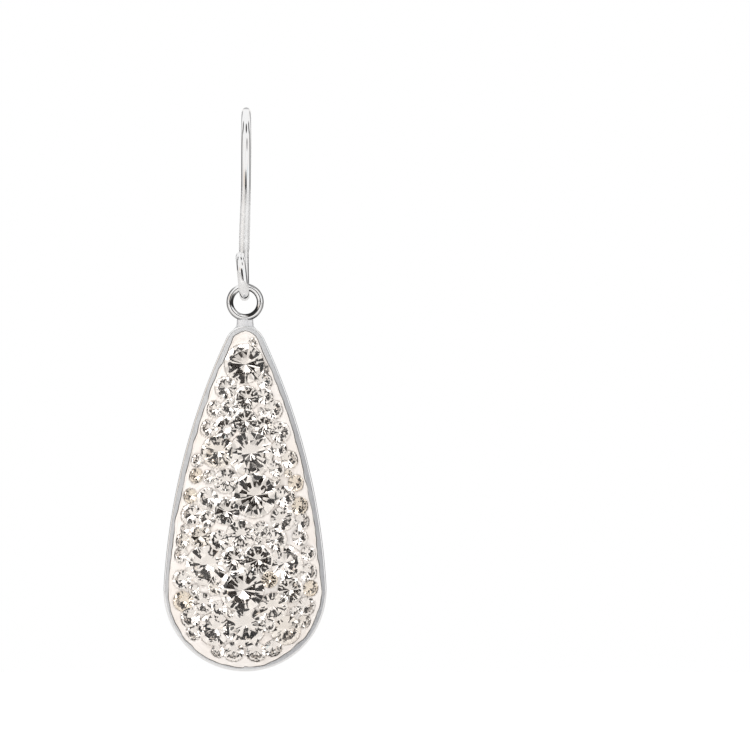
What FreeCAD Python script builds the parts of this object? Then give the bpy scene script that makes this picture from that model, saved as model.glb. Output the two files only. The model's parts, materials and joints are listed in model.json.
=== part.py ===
"""Drop earring: a silver teardrop setting filled with a domed, paved face, hanging from a wire hook.

Frame: +Z up, -Y to the front, millimetres. The origin is the inside of the hook's arch, where
it sits in the ear. The hook stays still; the drop swings on it about the top of its ring.
"""
import FreeCAD, Part
import os
import sys
from math import asin, atan2, cos, pi, radians, sin

import Sketcher

App = FreeCAD
doc = App.newDocument("teardrop_earring")

# ---------------------------------------------------------------- driving dimensions

SIZES = {
    # hook
    "wire_diameter": 0.8,
    "arch_radius": 4.6,         # centreline of the arch that sits in the ear
    "shoulder_radius": 9.0,     # slower bend from the arch into the stem
    "stem_offset": 5.0,         # stem's centreline in front of the origin
    "tail_length": 7.5,
    "tail_lean": 10.0,          # degrees that the tail leans back
    "tail_round": 0.3,
    "hang_height": 13.65,       # origin down to the axis that the drop swings on
    "loop_radius": 1.25,
    "loop_rise": 0.65,          # straight stretch up the loop's front
    "loop_lean": 5.0,           # degrees that the loop's front leans to the left
    "loop_gap": 0.03,           # left between the loop's cut end and the stem
    "end_chamfer": 0.06,
    # ring and solder neck
    "ring_diameter": 3.0,
    "ring_wire": 0.56,
    "hang_gap": 0.04,           # running gap between ring and loop
    "neck_height": 0.4,
    "neck_width": 1.36,
    "neck_foot": 2.0,
    "neck_depth": 1.1,
    "neck_sink": 0.3,           # how far the neck's foot is sunk into the setting's wall
    # setting
    "drop_length": 27.64,
    "drop_width": 13.04,
    "tip_radius": 1.64,
    "flank_radius": 54.4,
    "drop_depth": 3.0,
    "rim_width": 0.6,
    "back_plate": 0.5,
    "rim_round": 0.14,
    "back_round": 0.3,
    # paved filling
    "fill_gap": 0.03,
    "dome_rise": 2.0,
    "dome_spare": 0.1,          # how far the dome's mould runs on past the filling's edge
}

sheet = doc.addObject("Spreadsheet::Sheet", "Sizes")
for row, (alias, size) in enumerate(SIZES.items(), start=1):
    sheet.set(f"A{row}", alias)
    sheet.set(f"B{row}", str(size))
    sheet.setAlias(f"B{row}", alias)
doc.recompute()


def value(formula):
    """The number that a formula of the sheet's aliases gives now."""
    return float(sheet.evalExpression(formula))


# ---------------------------------------------------------------- formulas shared by the pieces

RING_RADIUS = "(Sizes.ring_diameter - Sizes.ring_wire) / 2"
RING_BOTTOM = f"(2 * ({RING_RADIUS}))"                      # swing axis down to the ring's lowest centre
DROP_TOP = f"({RING_BOTTOM} + Sizes.ring_wire / 2 + Sizes.neck_height)"
TIP_CENTRE = f"({DROP_TOP} + Sizes.tip_radius)"
BELLY_CENTRE = f"({DROP_TOP} + Sizes.drop_length - Sizes.drop_width / 2)"
CENTRE_SPAN = "(Sizes.drop_length - Sizes.drop_width / 2 - Sizes.tip_radius)"

# The flanks are arcs tangent inside both end circles. Their centres lie beyond the axis.
TO_BELLY = "(Sizes.flank_radius - Sizes.drop_width / 2)"
TO_TIP = "(Sizes.flank_radius - Sizes.tip_radius)"
FLANK_UP = f"(({TO_BELLY}^2 - {TO_TIP}^2 + {CENTRE_SPAN}^2) / (2 * {CENTRE_SPAN}))"
FLANK_ACROSS = f"sqrt({TO_BELLY}^2 - {FLANK_UP}^2)"

HALF_DEPTH = "(Sizes.drop_depth / 2)"
FILL_INSET = "(Sizes.rim_width + Sizes.fill_gap)"
FILL_BELLY = f"(Sizes.drop_width / 2 - {FILL_INSET})"
FILL_TIP = f"(Sizes.tip_radius - {FILL_INSET})"
LOOP_BOTTOM = "(Sizes.hang_height + Sizes.ring_wire / 2 + Sizes.hang_gap + Sizes.wire_diameter / 2)"
LOOP_FRONT = "(Sizes.stem_offset + Sizes.loop_radius)"      # loop's lowest point, in front of the origin
# The loop turns past its top by this angle's sine, until its end's outer corner nears the stem.
LOOP_CLOSE = ("(Sizes.loop_radius - Sizes.wire_diameter / 2 - Sizes.loop_gap)"
              " / (Sizes.loop_radius + Sizes.wire_diameter / 2)")


# ---------------------------------------------------------------- sketch helpers

START, END, CENTRE = 1, 2, 3            # a sketch edge's points
ORIGIN, ACROSS, UP = (-1, 1), -1, -2    # the sketch's own point and axes


def new_body(label):
    body = doc.addObject("PartDesign::Body", label)
    body.Label = label
    return body


def new_sketch(body, name, plane, offset="0"):
    """A sketch on one of the body's origin planes, moved along the plane's normal by a formula."""
    sketch = body.newObject("Sketcher::SketchObject", name)
    support = [f for f in body.Origin.OriginFeatures if f.Role == plane][0]
    sketch.AttachmentSupport = [(support, "")]
    sketch.MapMode = "FlatFace"
    sketch.setExpression(".AttachmentOffset.Base.z", offset)
    return sketch


def arc(sketch, centre, radius, start, end):
    """An anticlockwise arc, its angles in radians."""
    circle = Part.Circle(App.Vector(*centre, 0), App.Vector(0, 0, 1), radius)
    return sketch.addGeometry(Part.ArcOfCircle(circle, start, end), False)


def line(sketch, start, end):
    return sketch.addGeometry(Part.LineSegment(App.Vector(*start, 0), App.Vector(*end, 0)), False)


def rule(sketch, *terms):
    sketch.addConstraint(Sketcher.Constraint(*terms))


def size(sketch, name, formula, kind, *terms):
    """A named dimension that follows a formula of the sheet."""
    number = sketch.addConstraint(Sketcher.Constraint(kind, *terms, value(formula)))
    sketch.renameConstraint(number, name)
    sketch.setExpression(f"Constraints.{name}", formula)


def join_tangent(sketch, *ends):
    """Joins edge ends in pairs, smoothly."""
    for (first, first_end), (second, second_end) in ends:
        rule(sketch, "Tangent", first, first_end, second, second_end)


def circle_sketch(sketch, diameter, across="0", up="0"):
    """A circle at (across, up), both given as lengths that are never negative."""
    edge = sketch.addGeometry(
        Part.Circle(App.Vector(-value(across), -value(up), 0), App.Vector(0, 0, 1), value(diameter) / 2),
        False,
    )
    size(sketch, "diameter", diameter, "Diameter", edge)
    for name, formula, axis, kind in (("across", across, UP, "DistanceX"), ("up", up, ACROSS, "DistanceY")):
        if formula == "0":
            rule(sketch, "PointOnObject", edge, CENTRE, axis)
        else:
            size(sketch, name, formula, kind, edge, CENTRE, *ORIGIN)


# ---------------------------------------------------------------- hook

def hook():
    """One wire: tail, arch, shoulder and stem in one plane, then a small loop that leans to the left."""
    body = new_body("ear_wire")
    radius, shoulder = value("Sizes.arch_radius"), value("Sizes.shoulder_radius")
    stem, bend = value("Sizes.stem_offset"), value("Sizes.loop_radius")
    crown = value("Sizes.wire_diameter / 2") - radius
    lean = radians(value("Sizes.tail_lean"))
    bottom = -value(LOOP_BOTTOM)

    path = new_sketch(body, "hook_path", "YZ_Plane")
    turn = atan2(((shoulder - radius) ** 2 - (shoulder - stem) ** 2) ** 0.5, shoulder - stem)
    low = crown - (shoulder - radius) * sin(turn)
    tail_top = (radius * cos(lean), crown + radius * sin(lean))
    reach = value("Sizes.tail_length")
    tail = line(path, (tail_top[0] + reach * sin(lean), tail_top[1] - reach * cos(lean)), tail_top)
    arch = arc(path, (0, crown), radius, lean, pi - turn)
    side = arc(path, (shoulder - stem, low), shoulder, pi - turn, pi)
    post = line(path, (-stem, low), (-stem, bottom + bend))
    foot = arc(path, (-stem - bend, bottom + bend), bend, 1.5 * pi, 2 * pi)
    join_tangent(
        path,
        ((tail, END), (arch, START)),
        ((arch, END), (side, START)),
        ((side, END), (post, START)),
        ((post, END), (foot, END)),
    )
    rule(path, "PointOnObject", arch, CENTRE, UP)
    rule(path, "Vertical", post)
    rule(path, "Vertical", foot, CENTRE, foot, START)
    size(path, "arch", "Sizes.arch_radius", "Radius", arch)
    size(
        path, "crown_drop", "Sizes.arch_radius - Sizes.wire_diameter / 2", "DistanceY",
        arch, CENTRE, *ORIGIN,
    )
    size(path, "shoulder", "Sizes.shoulder_radius", "Radius", side)
    size(path, "stem_offset", "Sizes.stem_offset", "DistanceX", post, START, *ORIGIN)
    size(path, "foot", "Sizes.loop_radius", "Radius", foot)
    size(path, "loop_bottom", LOOP_BOTTOM, "DistanceY", foot, START, *ORIGIN)
    size(path, "tail_length", "Sizes.tail_length", "Distance", tail)
    size(
        path, "tail_reach", "Sizes.tail_length * sin(Sizes.tail_lean * 1deg)", "DistanceX",
        tail, END, tail, START,
    )

    # The loop's lowest point is where its front starts, so that both pipes share that round face.
    loop = new_sketch(body, "loop_path", "YZ_Plane")
    loop.AttachmentOffset = App.Placement(
        App.Vector(-value(LOOP_FRONT), -value(LOOP_BOTTOM), 0),
        App.Rotation(App.Vector(-1, 0, 0), value("Sizes.loop_lean")),
    )
    loop.setExpression(".AttachmentOffset.Base.x", f"-{LOOP_FRONT}")
    loop.setExpression(".AttachmentOffset.Base.y", f"-{LOOP_BOTTOM}")
    loop.setExpression(".AttachmentOffset.Rotation.Angle", "Sizes.loop_lean")
    rise, close = value("Sizes.loop_rise"), asin(value(LOOP_CLOSE))
    lower = arc(loop, (0, bend), bend, pi, 1.5 * pi)
    front = line(loop, (-bend, bend), (-bend, bend + rise))
    upper = arc(loop, (0, bend + rise), bend, pi / 2 - close, pi)
    join_tangent(loop, ((lower, START), (front, START)), ((front, END), (upper, END)))
    rule(loop, "Coincident", lower, END, *ORIGIN)
    rule(loop, "PointOnObject", lower, CENTRE, UP)
    rule(loop, "Vertical", front)
    rule(loop, "Equal", lower, upper)
    size(loop, "loop_radius", "Sizes.loop_radius", "Radius", lower)
    size(loop, "rise", "Sizes.loop_rise", "Distance", front)
    size(loop, "close", f"Sizes.loop_radius * {LOOP_CLOSE}", "DistanceX", upper, CENTRE, upper, START)

    section = new_sketch(body, "wire_section", "XZ_Plane", LOOP_FRONT)
    circle_sketch(section, "Sizes.wire_diameter", up=LOOP_BOTTOM)
    doc.recompute()
    for name, spine in (("hook_pipe", path), ("loop_pipe", loop)):
        pipe = body.newObject("PartDesign::AdditivePipe", name)
        pipe.Profile = section
        pipe.Spine = (spine, [])
        doc.recompute()

    # The tail's tip is rounded for the ear, and the loop's cut end only loses its burr.
    cut, tip = sorted((edge.CenterOfMass for edge in wire_ends(pipe.Shape)), key=lambda point: point.y)
    finish(body, "PartDesign::Fillet", "tail_tip", "Radius", "Sizes.tail_round", lambda e: near(e, tip))
    finish(body, "PartDesign::Chamfer", "cut_end", "Size", "Sizes.end_chamfer", lambda e: near(e, cut))
    return body


def wire_ends(shape):
    """The circles that end the wire, each round a flat face."""
    flats = [face for face in shape.Faces if face.Surface.TypeId == "Part::GeomPlane"]
    return [edge for face in flats for edge in face.Edges]


def near(edge, point):
    return (edge.CenterOfMass - point).Length < 0.01


def finish(body, kind, name, prop, formula, is_wanted):
    """A fillet or chamfer on the wanted edges of the body's last feature."""
    base = body.Tip
    names = [f"Edge{n}" for n, edge in enumerate(base.Shape.Edges, start=1) if is_wanted(edge)]
    feature = body.newObject(kind, name)
    feature.Base = (base, names)
    feature.setExpression(prop, formula)
    doc.recompute()


# ---------------------------------------------------------------- teardrop outline

def teardrop(sketch, inset):
    """The drop's outline moved in by a formula: a belly arc, a tip arc and two flanks, all tangent."""
    inward = value(inset)
    belly_up, tip_up = -value(BELLY_CENTRE), -value(TIP_CENTRE)
    belly, tip = value("Sizes.drop_width / 2") - inward, value("Sizes.tip_radius") - inward
    flank, across, up = value("Sizes.flank_radius") - inward, value(FLANK_ACROSS), value(FLANK_UP)
    low, high = atan2(-up, across), atan2(value(CENTRE_SPAN) - up, across)

    bottom = arc(sketch, (0, belly_up), belly, pi - low, 2 * pi + low)
    right = arc(sketch, (-across, belly_up + up), flank, low, high)
    top = arc(sketch, (0, tip_up), tip, high, pi - high)
    left = arc(sketch, (across, belly_up + up), flank, pi - high, pi - low)
    join_tangent(
        sketch,
        ((bottom, END), (right, START)),
        ((right, END), (top, START)),
        ((top, END), (left, START)),
        ((left, END), (bottom, START)),
    )
    rule(sketch, "PointOnObject", bottom, CENTRE, UP)
    rule(sketch, "PointOnObject", top, CENTRE, UP)
    rule(sketch, "Equal", right, left)
    size(sketch, "belly_radius", f"Sizes.drop_width / 2 - {inset}", "Radius", bottom)
    size(sketch, "tip_radius", f"Sizes.tip_radius - {inset}", "Radius", top)
    size(sketch, "flank_radius", f"Sizes.flank_radius - {inset}", "Radius", right)
    size(sketch, "belly_centre", BELLY_CENTRE, "DistanceY", bottom, CENTRE, *ORIGIN)
    size(sketch, "tip_centre", TIP_CENTRE, "DistanceY", top, CENTRE, *ORIGIN)


def hang(body):
    """Places a piece of the drop, whose own origin is the middle of the ring's top."""
    body.setExpression(".Placement.Base.y", f"-{LOOP_FRONT}")
    body.setExpression(".Placement.Base.z", "-Sizes.hang_height")


# ---------------------------------------------------------------- setting

def setting():
    """Silver cup with a flat back, its solder neck and its ring, which are one piece of metal."""
    body = new_body("setting")
    outline = new_sketch(body, "cup_outline", "XZ_Plane", f"-{HALF_DEPTH}")
    teardrop(outline, "0")
    doc.recompute()
    cup = body.newObject("PartDesign::Pad", "cup")
    cup.Profile = outline
    cup.setExpression("Length", "Sizes.drop_depth")
    doc.recompute()

    hollow_outline = new_sketch(body, "hollow_outline", "XZ_Plane", HALF_DEPTH)
    teardrop(hollow_outline, "Sizes.rim_width")
    doc.recompute()
    hollow = body.newObject("PartDesign::Pocket", "hollow")
    hollow.Profile = hollow_outline
    hollow.setExpression("Length", "Sizes.drop_depth - Sizes.back_plate")
    doc.recompute()

    front, back = -value(HALF_DEPTH), value(HALF_DEPTH)
    finish(body, "PartDesign::Fillet", "rim_round", "Radius", "Sizes.rim_round", lambda e: lies_at(e, front))
    finish(body, "PartDesign::Fillet", "back_round", "Radius", "Sizes.back_round", lambda e: lies_at(e, back))

    neck_outline = new_sketch(body, "neck_outline", "XZ_Plane")
    head, foot = -value(RING_BOTTOM), -value(f"{DROP_TOP} + Sizes.neck_sink")
    half_head, half_foot = value("Sizes.neck_width / 2"), value("Sizes.neck_foot / 2")
    corners = [(-half_foot, foot), (half_foot, foot), (half_head, head), (-half_head, head)]
    sides = [line(neck_outline, corners[n], corners[(n + 1) % 4]) for n in range(4)]
    for n in range(4):
        rule(neck_outline, "Coincident", sides[n], END, sides[(n + 1) % 4], START)
    for side in (sides[0], sides[2]):
        rule(neck_outline, "Symmetric", side, START, side, END, UP)
    size(neck_outline, "foot", "Sizes.neck_foot", "DistanceX", sides[0], START, sides[0], END)
    size(neck_outline, "width", "Sizes.neck_width", "DistanceX", sides[2], END, sides[2], START)
    size(neck_outline, "foot_down", f"{DROP_TOP} + Sizes.neck_sink", "DistanceY", sides[0], START, *ORIGIN)
    size(neck_outline, "head_down", RING_BOTTOM, "DistanceY", sides[2], START, *ORIGIN)
    doc.recompute()
    neck = body.newObject("PartDesign::Pad", "neck")
    neck.Profile = neck_outline
    neck.Midplane = True
    neck.setExpression("Length", "Sizes.neck_depth")
    doc.recompute()

    ring = body.newObject("PartDesign::AdditiveTorus", "ring")
    ring.AttachmentSupport = [([f for f in body.Origin.OriginFeatures if f.Role == "XZ_Plane"][0], "")]
    ring.MapMode = "FlatFace"
    ring.setExpression("Radius1", RING_RADIUS)
    ring.setExpression("Radius2", "Sizes.ring_wire / 2")
    ring.setExpression(".AttachmentOffset.Base.y", f"-({RING_RADIUS})")
    doc.recompute()
    hang(body)
    return body


def lies_at(edge, depth):
    return all(abs(vertex.Point.y - depth) < 1e-6 for vertex in edge.Vertexes)


# ---------------------------------------------------------------- paved filling

def fill_half_width(height):
    """The filling's half width at a height above the belly's centre, on its flanks."""
    return (f"(sqrt((Sizes.flank_radius - {FILL_INSET})^2 - ({height} - {FLANK_UP})^2)"
            f" - {FLANK_ACROSS})")


def round_end(radius, rise, past):
    """Crown and arc radius of a round end's cap, at a distance from the end's centre."""
    sphere = f"(({radius}^2 + {rise}^2) / (2 * {rise}))"
    section = f"sqrt({sphere}^2 - ({past})^2)"
    return f"({section} - {sphere} + {rise})", section


def dome_sections():
    """Height above the belly's centre, crown, arc radius and half width of each section."""
    tip_rise = f"(Sizes.dome_rise * {FILL_TIP} / {FILL_BELLY})"
    sections = []
    for share in (-1.02, -0.6, 0):
        past = f"({share} * {FILL_BELLY})"
        sections.append((past, *round_end(FILL_BELLY, "Sizes.dome_rise", past), FILL_BELLY))
    for share in (0.3, 0.6, 0.85):
        height = f"({share} * {CENTRE_SPAN})"
        width = fill_half_width(height)
        rise = f"(Sizes.dome_rise * {width} / {FILL_BELLY})"
        sections.append((height, rise, f"(({width}^2 + {rise}^2) / (2 * {rise}))", width))
    for share in (0, 1.05):
        past = f"({share} * {FILL_TIP})"
        sections.append((f"({CENTRE_SPAN} + {past})", *round_end(FILL_TIP, tip_rise, past), FILL_TIP))
    return sections


def dome_section(body, name, height, crown, radius, half_width):
    """One section of the dome's mould: an arc with a ledge each side, and clear space in front."""
    sketch = new_sketch(body, name, "XY_Plane", f"{height} - {BELLY_CENTRE}")
    reach, clear = "(Sizes.drop_width / 2 + 1)", f"({HALF_DEPTH} + Sizes.dome_rise + 1)"
    arc_width = f"min({half_width} + Sizes.dome_spare; 0.9 * {radius})"
    ball, half = value(radius), value(arc_width)
    centre = ball - value(f"{HALF_DEPTH} + {crown}")
    side_angle = atan2(-((ball ** 2 - half ** 2) ** 0.5), half)
    ledge, wide, far = centre + ball * sin(side_angle), value(reach), -value(clear)
    face = arc(sketch, (0, centre), ball, pi - side_angle, 2 * pi + side_angle)
    corners = [(half, ledge), (wide, ledge), (wide, far), (-wide, far), (-wide, ledge), (-half, ledge)]
    sides = [line(sketch, *ends) for ends in zip(corners, corners[1:])]
    for first, second in zip([face, *sides], [*sides, face]):
        rule(sketch, "Coincident", first, END, second, START)
    rule(sketch, "PointOnObject", face, CENTRE, UP)
    rule(sketch, "Horizontal", face, START, face, END)
    rule(sketch, "Symmetric", sides[2], START, sides[2], END, UP)
    for level, upright in ((sides[0], sides[1]), (sides[4], sides[3])):
        rule(sketch, "Horizontal", level)
        rule(sketch, "Vertical", upright)
    size(sketch, "ball", radius, "Radius", face)
    size(sketch, "arc_width", arc_width, "DistanceX", *ORIGIN, sides[0], START)
    size(sketch, "reach", reach, "DistanceX", *ORIGIN, sides[0], END)
    size(sketch, "clear", clear, "DistanceY", sides[2], START, *ORIGIN)
    size(sketch, "ball_centre", f"{radius} + 1 + Sizes.dome_rise - {crown}", "DistanceY",
         sides[2], START, face, CENTRE)
    return sketch


def paving():
    """Clay with its bed of stones, as one solid: a teardrop prism whose front is cut to a dome."""
    body = new_body("paved_filling")
    floor = f"({HALF_DEPTH} - Sizes.back_plate - Sizes.fill_gap)"
    outline = new_sketch(body, "filling_outline", "XZ_Plane", f"-{floor}")
    teardrop(outline, FILL_INSET)
    doc.recompute()
    prism = body.newObject("PartDesign::Pad", "prism")
    prism.Profile = outline
    prism.setExpression("Length", f"{floor} + {HALF_DEPTH} + Sizes.dome_rise")
    doc.recompute()

    profiles = [dome_section(body, f"dome_section_{n}", *terms) for n, terms in enumerate(dome_sections())]
    doc.recompute()
    mould = body.newObject("PartDesign::SubtractiveLoft", "dome")
    mould.Profile = profiles[0]
    mould.Sections = profiles[1:]
    doc.recompute()
    hang(body)
    return body


# ---------------------------------------------------------------- build, check and write

def check(bodies):
    """Stops the build if any object failed, or a piece isn't one sound solid."""
    failed = [o.Name for o in doc.Objects if "Invalid" in o.State or "Error" in o.State]
    if failed:
        sys.exit(f"these objects failed to build: {failed}")
    for body in bodies:
        if body.Shape.isNull() or not body.Shape.isValid() or len(body.Shape.Solids) != 1:
            sys.exit(f"{body.Label} isn't one valid solid")


pieces = [hook(), setting(), paving()]
doc.recompute()
check(pieces)
os.makedirs("parts", exist_ok=True)
for piece in pieces:
    box = piece.Shape.BoundBox
    print(f"{piece.Label}: {piece.Shape.Volume:.2f} mm3, z {box.ZMin:.2f} to {box.ZMax:.2f}")
    piece.Shape.exportStep(f"parts/{piece.Label}.step")
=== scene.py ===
import json
import math
import random

import bmesh
import bpy
from mathutils import Matrix, Vector, noise
from mathutils.bvhtree import BVHTree


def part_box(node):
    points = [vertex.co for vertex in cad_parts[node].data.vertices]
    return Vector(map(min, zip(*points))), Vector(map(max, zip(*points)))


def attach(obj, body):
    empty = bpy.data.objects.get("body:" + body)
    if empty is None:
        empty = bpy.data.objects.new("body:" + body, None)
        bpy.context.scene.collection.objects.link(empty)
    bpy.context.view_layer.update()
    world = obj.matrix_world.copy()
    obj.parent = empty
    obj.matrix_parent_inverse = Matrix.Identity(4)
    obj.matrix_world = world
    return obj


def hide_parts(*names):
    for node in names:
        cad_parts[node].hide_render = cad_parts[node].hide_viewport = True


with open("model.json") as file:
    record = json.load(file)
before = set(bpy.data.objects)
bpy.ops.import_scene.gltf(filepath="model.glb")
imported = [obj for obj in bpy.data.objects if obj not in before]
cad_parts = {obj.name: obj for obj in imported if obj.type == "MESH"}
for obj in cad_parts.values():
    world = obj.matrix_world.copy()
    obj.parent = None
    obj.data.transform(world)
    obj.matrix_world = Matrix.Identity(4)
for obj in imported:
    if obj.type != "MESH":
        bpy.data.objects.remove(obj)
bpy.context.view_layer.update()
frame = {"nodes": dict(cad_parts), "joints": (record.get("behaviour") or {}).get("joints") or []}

print("frame loaded")

# Everything is modelled in millimetres, and each finished piece is brought down to metres.
mm = 0.001
draw = random.Random(11)


def cornersOf(node):
    low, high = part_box(node)
    return low / mm, high / mm


wireLow, wireHigh = cornersOf("ear_wire")
cupLow, cupHigh = cornersOf("setting")
fillLow, fillHigh = cornersOf("paved_filling")
swing = next(joint for joint in frame["joints"] if joint["name"] == "drop_swing")
hangY = swing["pos_m"][1] / mm      # middle of the drop's depth, under the loop
hangZ = swing["pos_m"][2] / mm      # centre of the ring's wire at its top


def selectOnly(piece):
    bpy.ops.object.select_all(action="DESELECT")
    piece.select_set(True)
    bpy.context.view_layer.objects.active = piece


def openEdit(piece):
    selectOnly(piece)
    bpy.ops.object.mode_set(mode="EDIT")


def closeEdit():
    bpy.ops.object.mode_set(mode="OBJECT")


def pick(kind, wanted):
    # Selects only the vertices, edges or faces that the test wants.
    bpy.ops.mesh.select_mode(type=kind)
    bpy.ops.mesh.select_all(action="DESELECT")
    shape = bmesh.from_edit_mesh(bpy.context.edit_object.data)
    for part in {"VERT": shape.verts, "EDGE": shape.edges, "FACE": shape.faces}[kind]:
        part.select = wanted(part)
    shape.select_flush_mode()
    bmesh.update_edit_mesh(bpy.context.edit_object.data)


def pickAll():
    bpy.ops.mesh.select_all(action="SELECT")


def middle(edge):
    return (edge.verts[0].co + edge.verts[1].co) / 2


def rimOfHole(edge):
    return edge.is_boundary or edge.is_wire


def spin(centre, axis, angle, steps):
    bpy.ops.mesh.spin(steps=steps, angle=-angle, center=centre, axis=axis)


def pull(offset):
    bpy.ops.mesh.extrude_region_move(TRANSFORM_OT_translate={"value": offset})


def widen(factors, centre):
    bpy.ops.transform.resize(value=factors, center_override=centre)


def tidySkin(gap=0.001):
    # Closes the seams and turns every face outwards.
    pickAll()
    bpy.ops.mesh.remove_doubles(threshold=gap)
    bpy.ops.mesh.normals_make_consistent(inside=False)


def finishPiece(piece, name, body, slot, *nodes):
    # Down to metres, with its place in its mesh, and handed to the frame.
    piece.name = name
    piece.data.name = name
    piece.scale = (mm, mm, mm)
    selectOnly(piece)
    piece.location = piece.location * mm
    bpy.ops.object.transform_apply(location=True, rotation=True, scale=True)
    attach(piece, body)
    if nodes:
        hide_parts(*nodes)
    print(name, len(piece.data.polygons), "faces")
    return piece


def smoothShade(piece, degrees):
    selectOnly(piece)
    bpy.ops.object.shade_smooth_by_angle(angle=math.radians(degrees))


def newFinish(name, metal=False):
    finish = bpy.data.materials.new(name)
    finish.use_nodes = True
    shader = finish.node_tree.nodes["Principled BSDF"]
    if metal:
        shader.inputs["Metallic"].default_value = 1.0
    return finish, finish.node_tree, shader


def addNode(tree, kind, settings=None, **sockets):
    node = tree.nodes.new(kind)
    for key, setting in (settings or {}).items():
        setattr(node, key, setting)
    for key, setting in sockets.items():
        node.inputs[key.replace("_", " ")].default_value = setting
    return node


def stretchedNoise(tree, stretch, scale, detail=3.0):
    # Noise on the piece's own coordinates, drawn out along one way.
    place = addNode(tree, "ShaderNodeTexCoord")
    mapping = addNode(tree, "ShaderNodeMapping")
    mapping.inputs["Scale"].default_value = stretch
    grain = addNode(tree, "ShaderNodeTexNoise", Scale=scale, Detail=detail)
    tree.links.new(place.outputs["Object"], mapping.inputs["Vector"])
    tree.links.new(mapping.outputs["Vector"], grain.inputs["Vector"])
    return grain


def mapTo(tree, source, socket, low, high, start=0.3, end=0.7):
    # Spreads a pattern over a range and plugs it into a socket.
    spread = addNode(tree, "ShaderNodeMapRange", From_Min=start, From_Max=end, To_Min=low, To_Max=high)
    tree.links.new(source, spread.inputs["Value"])
    tree.links.new(spread.outputs[0], socket)


def addBump(tree, shader, source, strength, depth):
    bump = addNode(tree, "ShaderNodeBump", Strength=strength, Distance=depth)
    tree.links.new(source, bump.inputs["Height"])
    tree.links.new(bump.outputs["Normal"], shader.inputs["Normal"])


def fillRamp(tree, stops):
    # A colour ramp from (place, grey) or (place, colour) pairs, in order.
    node = addNode(tree, "ShaderNodeValToRGB")
    marks = node.color_ramp.elements
    for number, (spot, shade) in enumerate(stops):
        if number == len(stops) - 1:
            stop = marks[number]
        else:
            stop = marks.new(spot) if number else marks[0]
        stop.position = spot
        stop.color = (*shade, 1) if isinstance(shade, tuple) else (shade, shade, shade, 1)
    return node


def colourBy(tree, shader, pattern, stops):
    # Colours a finish by a pattern, through a ramp.
    tint = fillRamp(tree, stops)
    tree.links.new(pattern.outputs["Fac"], tint.inputs["Fac"])
    tree.links.new(tint.outputs["Color"], shader.inputs["Base Color"])


def roughenBy(tree, shader, base, pattern, share):
    # A ramp's roughness, with a share of a pattern on top.
    blend = addNode(tree, "ShaderNodeMath", {"operation": "MULTIPLY_ADD"})
    blend.inputs[1].default_value = share
    tree.links.new(pattern.outputs["Fac"], blend.inputs[0])
    tree.links.new(base.outputs["Color"], blend.inputs[2])
    tree.links.new(blend.outputs[0], shader.inputs["Roughness"])


def ownPlace(tree):
    # The piece's own coordinates, one by one.
    place = addNode(tree, "ShaderNodeTexCoord")
    parts = addNode(tree, "ShaderNodeSeparateXYZ")
    tree.links.new(place.outputs["Object"], parts.inputs[0])
    return parts


def mixColours(tree, under, over, blend="MIX"):
    # Lays one colour over another, and leaves how much of it to the mix's "Factor" socket.
    mix = addNode(tree, "ShaderNodeMix", {"data_type": "RGBA", "blend_type": blend})
    underSocket, overSocket = 6, 7
    tree.links.new(under, mix.inputs[underSocket])
    mix.inputs[overSocket].default_value = (*over, 1)
    return mix.inputs[0], mix.outputs[2]


def polishedSilver():
    # Polished arch and loop, a satin stem between them, and plier marks just above the loop. The base colour
    # carries painted reflections: lighter along the satin stem, a little darker above it.
    finish, tree, shader = newFinish("polishedSilver", metal=True)
    loopEnd, archEnd = -0.015, 0.001     # heights in metres where the ramps start and end
    height = ownPlace(tree)
    wear = fillRamp(tree, (
        (0, 0.0), (0.12, 0.02), (0.24, 0.08), (0.29, 0.46), (0.49, 0.46), (0.6, 0.08), (0.7, 0.03), (1, 0.03),
    ))
    # painted reflections in the base colour: lighter along the satin stem, a shade darker above it
    tone = fillRamp(tree, (
        (0, 0.88), (0.27, 0.88), (0.31, 0.97), (0.48, 0.97),
        (0.52, 0.88), (0.6, 0.86), (0.65, 0.88), (1, 0.88),
    ))
    dents = fillRamp(tree, ((0, 0), (0.2, 0.05), (0.27, 1), (0.33, 0.5), (0.38, 0), (1, 0)))
    for ramp in (wear, tone, dents):
        mapTo(tree, height.outputs["Z"], ramp.inputs["Fac"], 0, 1, loopEnd, archEnd)
    tree.links.new(tone.outputs["Color"], shader.inputs["Base Color"])
    roughenBy(tree, shader, wear, stretchedNoise(tree, (1, 1, 0.35), 700), 0.1)
    marks = stretchedNoise(tree, (1, 1, 0.5), 4200)
    deep = addNode(tree, "ShaderNodeMath", {"operation": "MULTIPLY"})
    tree.links.new(marks.outputs["Fac"], deep.inputs[0])
    tree.links.new(dents.outputs["Color"], deep.inputs[1])
    addBump(tree, shader, deep.outputs[0], 0.7, 0.00006)
    return finish


def satinSilver():
    finish, tree, shader = newFinish("satinSilver", metal=True)
    brush = stretchedNoise(tree, (1, 1, 0.015), 6500, 8.0)
    colourBy(tree, shader, brush, (
        (0, (0.76, 0.76, 0.78)), (0.35, (0.82, 0.82, 0.835)),
        (0.65, (0.91, 0.91, 0.92)), (1, (0.94, 0.94, 0.94)),
    ))
    mapTo(tree, brush.outputs["Fac"], shader.inputs["Roughness"], 0.42, 0.6)
    addBump(tree, shader, brush.outputs["Fac"], 0.3, 0.00002)
    return finish


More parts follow.
